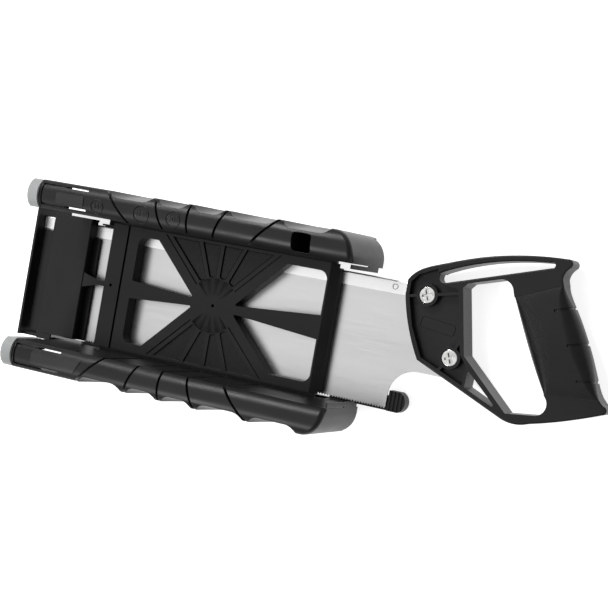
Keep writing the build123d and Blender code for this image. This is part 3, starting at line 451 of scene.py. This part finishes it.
def slice_across(shell: bmesh.types.BMesh, axis: int, step: float) -> None:
    """Cut a mesh with evenly spaced planes, so that it can bend.

    Args:
        shell: the mesh.
        axis: 0 for planes across X, 1 for planes across Y.
        step: distance between planes.
    """
    low = min(vertex.co[axis] for vertex in shell.verts)
    high = max(vertex.co[axis] for vertex in shell.verts)
    normal = Vector((axis == 0, axis == 1, 0))
    for index in range(1, int((high - low) / step) + 1):
        place = normal * (low + index * step)
        everything = shell.verts[:] + shell.edges[:] + shell.faces[:]
        bmesh.ops.bisect_plane(shell, geom=everything, dist=1e-7, plane_co=place, plane_no=normal)


def finish_piece(shell: bmesh.types.BMesh, name: str, body: Body, slot: str, book: FinishBook,
                 finish: str | None = None, smooth: bool = True) -> bpy.types.Object:
    """Turn a mesh into a piece of the object that rides on a body.

    Args:
        shell: the mesh, in frame coordinates.
        name: the piece's name.
        body: the body it moves with.
        slot: the record's material slot.
        book: the finishes.
        finish: a finish other than the slot's own.
        smooth: shade it smooth.

    Returns:
        The piece.
    """
    bmesh.ops.remove_doubles(shell, verts=shell.verts, dist=1e-6)
    bmesh.ops.recalc_face_normals(shell, faces=shell.faces)
    mesh = bpy.data.meshes.new(name)
    shell.to_mesh(mesh)
    shell.free()
    mesh.polygons.foreach_set("use_smooth", [smooth] * len(mesh.polygons))
    piece = bpy.data.objects.new(name, mesh)
    bpy.context.scene.collection.objects.link(piece)
    book.dress(piece, finish or slot)
    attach(piece, body.value)
    LOG.info("built %s with %d faces", name, len(mesh.polygons))
    return piece


def rounded_outline(length: float, width: float, radius: float, lean: float = 0.0) -> list[Point2]:
    """Corner-rounded plate outline round the origin.

    Args:
        length: size along X.
        width: size along Y.
        radius: corner radius.
        lean: how far the right end's upper corner moves out in X.

    Returns:
        Points, counter-clockwise.
    """
    points: list[Point2] = []
    for turn, (sx, sy) in enumerate(((1, 1), (-1, 1), (-1, -1), (1, -1))):
        shift = lean * sy if sx > 0 else 0.0
        centre = (sx * (length / 2 - radius) + shift, sy * (width / 2 - radius))
        for step in range(CORNER_STEPS + 1):
            angle = math.radians(90 * turn + 90 / CORNER_STEPS * step)
            points.append((centre[0] + radius * math.cos(angle), centre[1] + radius * math.sin(angle)))
    return points


def plate(points: Sequence[Point2], low: float, high: float) -> bmesh.types.BMesh:
    """Flat plate with an outline.

    Args:
        points: the outline.
        low: height of its lower face.
        high: height of its upper face.

    Returns:
        The mesh.
    """
    shell = bmesh.new()
    face = shell.faces.new([shell.verts.new((x, y, low)) for x, y in points])
    raised = bmesh.ops.extrude_face_region(shell, geom=[face])
    top = [item for item in raised["geom"] if isinstance(item, bmesh.types.BMVert)]
    bmesh.ops.translate(shell, verts=top, vec=(0, 0, high - low))
    return shell


def place(shell: bmesh.types.BMesh, x: float, y: float, turn: float = 0.0) -> None:
    """Turn a mesh about Z and move it.

    Args:
        shell: the mesh.
        x: new place along X.
        y: new place along Y.
        turn: angle in degrees.
    """
    matrix = Matrix.Translation((x, y, 0)) @ Matrix.Rotation(math.radians(turn), 4, "Z")
    bmesh.ops.transform(shell, matrix=matrix, verts=shell.verts)


# ---- Sub-assemblies --------------------------------------------------------------------------------
class AngleLabel(Enum):
    """Raised angle labels on the back rail: text, X, Y and ring radius in millimetres."""

    MITRE = ("45°", -82.0, 62.4, 5.6)
    HALF_MITRE = ("22.5°", -41.0, 62.4, 7.0)
    SQUARE = ("90°", -12.0, 63.0, 6.3)


@dataclass
class RailMarks:
    """Angle labels and blank badges of the two rails."""

    book: FinishBook
    raise_height: float = 0.7 * MM
    sink: float = 0.3 * MM
    ring_width: float = 0.7 * MM
    letter_size: float = 6.4 * MM
    letter_fill: float = 1.5
    letter_weight: float = 0.14 * MM

    def build(self) -> None:
        """Make every mark."""
        back, front = surface_of("back_wall"), surface_of("front_wall")
        for label in AngleLabel:
            self.ring(label, back)
            self.numerals(label, back)
        self.badge("back_badge", 26.0, 8.6, -108.0, 64.2, back, 0.0)
        self.badge("front_badge", 44.0, 11.2, -97.0, -65.4, front, 2.4)

    def ring(self, label: AngleLabel, tree: BVHTree) -> None:
        """Raised ring round a label.

        Args:
            label: which label.
            tree: the rail's surface.
        """
        _, x, y, radius = label.value
        shell = bmesh.new()
        middle, foot, crest = radius * MM, self.ring_width / 2, self.ring_width / 4
        section = [(middle - foot, -self.sink), (middle + foot, -self.sink),
                   (middle + crest, self.raise_height), (middle - crest, self.raise_height)]
        verts = [shell.verts.new((r, 0, z)) for r, z in section]
        edges = [shell.edges.new((verts[i], verts[(i + 1) % 4])) for i in range(4)]
        bmesh.ops.spin(shell, geom=verts + edges, cent=(0, 0, 0), axis=(0, 0, 1), angle=2 * math.pi, steps=48,
                       use_merge=True)
        place(shell, x * MM, y * MM)
        drape(shell, tree)
        name = f"label_ring_{label.name.lower()}"
        finish_piece(shell, name, Body.BOX, "box_plastic", self.book, "highlit_mark_plastic")

    def numerals(self, label: AngleLabel, tree: BVHTree) -> None:
        """Raised figures inside a ring.

        Args:
            label: which label.
            tree: the rail's surface.
        """
        text, x, y, radius = label.value
        curve = bpy.data.curves.new(f"figures {label.name}", "FONT")
        curve.body = text
        curve.size = self.letter_size
        curve.offset = self.letter_weight
        curve.extrude = (self.raise_height + self.sink) / 2
        curve.align_x, curve.align_y = "CENTER", "CENTER"
        curve.resolution_u = 3
        holder = bpy.data.objects.new("figures", curve)
        bpy.context.scene.collection.objects.link(holder)
        bpy.context.view_layer.update()
        mesh = bpy.data.meshes.new_from_object(holder)
        bpy.data.objects.remove(holder)
        bpy.data.curves.remove(curve)
        shell = bmesh.new()
        shell.from_mesh(mesh)
        bpy.data.meshes.remove(mesh)
        bmesh.ops.remove_doubles(shell, verts=shell.verts, dist=1e-6)
        slice_across(shell, 1, 0.8 * MM)
        wide = max(vertex.co.x for vertex in shell.verts) - min(vertex.co.x for vertex in shell.verts)
        bmesh.ops.scale(shell, vec=(self.letter_fill * radius * MM / wide, 1, 1), verts=shell.verts)
        place(shell, x * MM, y * MM)
        drape(shell, tree)
        name = f"label_figures_{label.name.lower()}"
        finish_piece(shell, name, Body.BOX, "box_plastic", self.book, "highlit_mark_plastic", smooth=False)

    def badge(self, name: str, length: float, width: float, x: float, y: float, tree: BVHTree,
              lean: float) -> None:
        """Blank raised badge on a rail.

        Args:
            name: the piece's name.
            length: size along X, in millimetres.
            width: size along Y, in millimetres.
            x: centre along X, in millimetres.
            y: centre along Y, in millimetres.
            tree: the rail's surface.
            lean: slant of the right end, in millimetres.
        """
        points = rounded_outline(length * MM, width * MM, 1.2 * MM, lean * MM)
        shell = plate(points, -self.sink, self.raise_height)
        slice_across(shell, 1, 0.9 * MM)
        place(shell, x * MM, y * MM)
        drape(shell, tree)
        finish_piece(shell, name, Body.BOX, "box_plastic", self.book, "highlit_mark_plastic", smooth=False)


@dataclass
class GripStipple:
    """Almond-shaped field of small raised points on each side of the grip's front."""

    book: FinishBook
    top: Point2 = (249.6, 58.5)
    bottom: Point2 = (284.4, -9.5)
    bow: float = 8.5
    front_bow: float = 3.4
    pitch: float = 1.25
    point_height: float = 0.32 * MM
    point_radius: float = 0.42 * MM

    def inside(self, along: float, across: float) -> bool:
        """Whether a place is inside the almond.

        Args:
            along: share of the way from the top tip to the bottom one.
            across: distance to the right of the line between the tips, in millimetres.

        Returns:
            True inside.
        """
        swell = 4 * along * (1 - along)
        return 0.03 < along < 0.97 and -self.front_bow * swell < across < self.bow * swell

    def build(self) -> None:
        """Make the points on both sides."""
        tree = surface_of("handle")
        for name, above in (("upper_stipple", True), ("lower_stipple", False)):
            self.field(name, tree, above)

    def field(self, name: str, tree: BVHTree, above: bool) -> None:
        """One field of points.

        Args:
            name: the piece's name.
            tree: the handle's surface.
            above: True for the upper side.
        """
        start, end = Vector(self.top), Vector(self.bottom)
        run = end - start
        along = run.normalized()
        across = Vector((-along.y, along.x))
        side = 1.0 if above else -1.0
        shell = bmesh.new()
        rows = int(run.length / (0.86 * self.pitch))
        for row in range(rows):
            share = row / rows
            for column in range(-6, 12):
                offset = (column + 0.5 * (row % 2)) * self.pitch
                if not self.inside(share, offset):
                    continue
                spot = (start + along * (share * run.length) + across * offset) * MM
                hit, normal, _, _ = tree.ray_cast(Vector((spot.x, spot.y, side * HIGH_ABOVE)),
                                                Vector((0, 0, -side)))
                if hit is None or abs(normal.z) < 0.25:
                    continue
                facing = normal if normal.z * side > 0 else -normal
                matrix = Matrix.Translation(hit + facing * (0.3 * self.point_height))
                matrix @= facing.to_track_quat("Z", "Y").to_matrix().to_4x4()
                bmesh.ops.create_cone(shell, cap_ends=True, segments=6, radius1=self.point_radius,
                                      radius2=0.4 * self.point_radius,
                                      depth=1.4 * self.point_height, matrix=matrix)
        finish_piece(shell, name, Body.SAW, "handle_plastic", self.book, "highlit_stipple_plastic", smooth=False)


@dataclass
class HandleBadge:
    """Blank outlined badge on the sunk web of the handle."""

    book: FinishBook
    length: float = 28.0 * MM
    width: float = 8.4 * MM
    centre: Point2 = (190.0, 18.4)
    turn: float = -7.0
    line: float = 0.6 * MM
    rise: float = 0.5 * MM

    def build(self) -> None:
        """Make the outline."""
        shell = bmesh.new()
        outer = rounded_outline(self.length, self.width, 2.2 * MM)
        face = shell.faces.new([shell.verts.new((x, y, -self.rise)) for x, y in outer])
        inner = bmesh.ops.inset_individual(shell, faces=[face], thickness=self.line)
        bmesh.ops.delete(shell, geom=[face], context="FACES_ONLY")
        rim = list(inner["faces"])
        raised = bmesh.ops.extrude_face_region(shell, geom=rim)
        top = [item for item in raised["geom"] if isinstance(item, bmesh.types.BMVert)]
        bmesh.ops.translate(shell, verts=top, vec=(0, 0, 2 * self.rise))
        place(shell, self.centre[0] * MM, self.centre[1] * MM, self.turn)
        drape(shell, surface_of("handle"))
        finish_piece(shell, "handle_badge", Body.SAW, "handle_plastic", self.book, "highlit_mark_plastic",
                     smooth=False)


# ---- Studio ----------------------------------------------------------------------------------------
@dataclass
class Studio:
    """Pale floor, soft light and the camera."""

    floor_size: float = 40.0
    camera_place: tuple[float, float, float] = (0.56044, 0.06051, 1.07689)
    right: tuple[float, float, float] = (0.892285, 0.175506, -0.415962)
    up: tuple[float, float, float] = (-0.175586, 0.983715, 0.038405)
    back: tuple[float, float, float] = (0.415928, 0.038769, 0.908571)
    aim_point: tuple[float, float, float] = (0.07, 0.0, 0.03)
    lens: float = 87.06
    sky_strength: float = 0.28
    floor_glow: float = 0.8

    def build(self) -> None:
        """Set up everything round the object."""
        self.floor()
        self.sky()
        self.lamps()
        self.camera()

    def floor(self) -> None:
        """Plain pale floor that glows, so that it and the gaps through the object stay bright."""
        shell = bmesh.new()
        bmesh.ops.create_grid(shell, x_segments=1, y_segments=1, size=self.floor_size / 2)
        mesh = bpy.data.meshes.new("floor")
        shell.to_mesh(mesh)
        shell.free()
        floor = bpy.data.objects.new("floor", mesh)
        floor.location = (0.07, 0, -0.0002)
        bpy.context.scene.collection.objects.link(floor)
        bench = NodeBench("pale floor")
        bench.set("Base Color", (0.8, 0.8, 0.8, 1))
        bench.set("Emission Color", (1, 1, 1, 1))
        bench.set("Emission Strength", self.floor_glow)
        bench.set("Roughness", 0.9)
        bench.set("Specular IOR Level", 0.0)
        floor.data.materials.append(bench.material)

    def sky(self) -> None:
        """Even white surround."""
        world = bpy.data.worlds.new("surround")
        world.use_nodes = True
        background = world.node_tree.nodes["Background"]
        background.inputs["Color"].default_value = (1, 1, 1, 1)
        background.inputs["Strength"].default_value = self.sky_strength
        bpy.context.scene.world = world
        bpy.context.scene.view_settings.view_transform = "Standard"

    def lamps(self) -> None:
        """Large soft lamps."""
        for name, place_at, size, power in (
            ("overhead", (-0.60, -0.07, 1.45), 1.2, 5.4),
            ("back_strip", (-0.60, 1.07, 0.98), 0.4, 15.0),
            ("front_strip", (-0.60, -0.95, 1.08), 0.3, 8.0),
        ):
            light = bpy.data.lights.new(name, "AREA")
            light.size = size
            light.energy = power
            lamp = bpy.data.objects.new(name, light)
            lamp.location = place_at
            aim = Vector(self.aim_point) - Vector(place_at)
            lamp.rotation_euler = aim.to_track_quat("-Z", "Y").to_euler()
            bpy.context.scene.collection.objects.link(lamp)

    def camera(self) -> None:
        """Camera at the viewing angle that shows the deck from the handle's side."""
        data = bpy.data.cameras.new("camera")
        data.lens = self.lens
        data.sensor_width = 36.0
        data.clip_start, data.clip_end = 0.05, 20.0
        camera = bpy.data.objects.new("camera", data)
        columns = [Vector(self.right), Vector(self.up), Vector(self.back)]
        turn = Matrix([[column[row] for column in columns] for row in range(3)]).to_4x4()
        camera.matrix_world = Matrix.Translation(self.camera_place) @ turn
        bpy.context.scene.collection.objects.link(camera)
        bpy.context.scene.camera = camera


def main() -> None:
    """Dress the frame, add the marks, and set up the studio."""
    logging.basicConfig(level=logging.INFO, format="%(name)s: %(message)s")
    book = FinishBook()
    book.mix_all()
    book.dress_frame()
    RailMarks(book).build()
    GripStipple(book).build()
    HandleBadge(book).build()
    Studio().build()


if __name__ == "__main__":
    main()
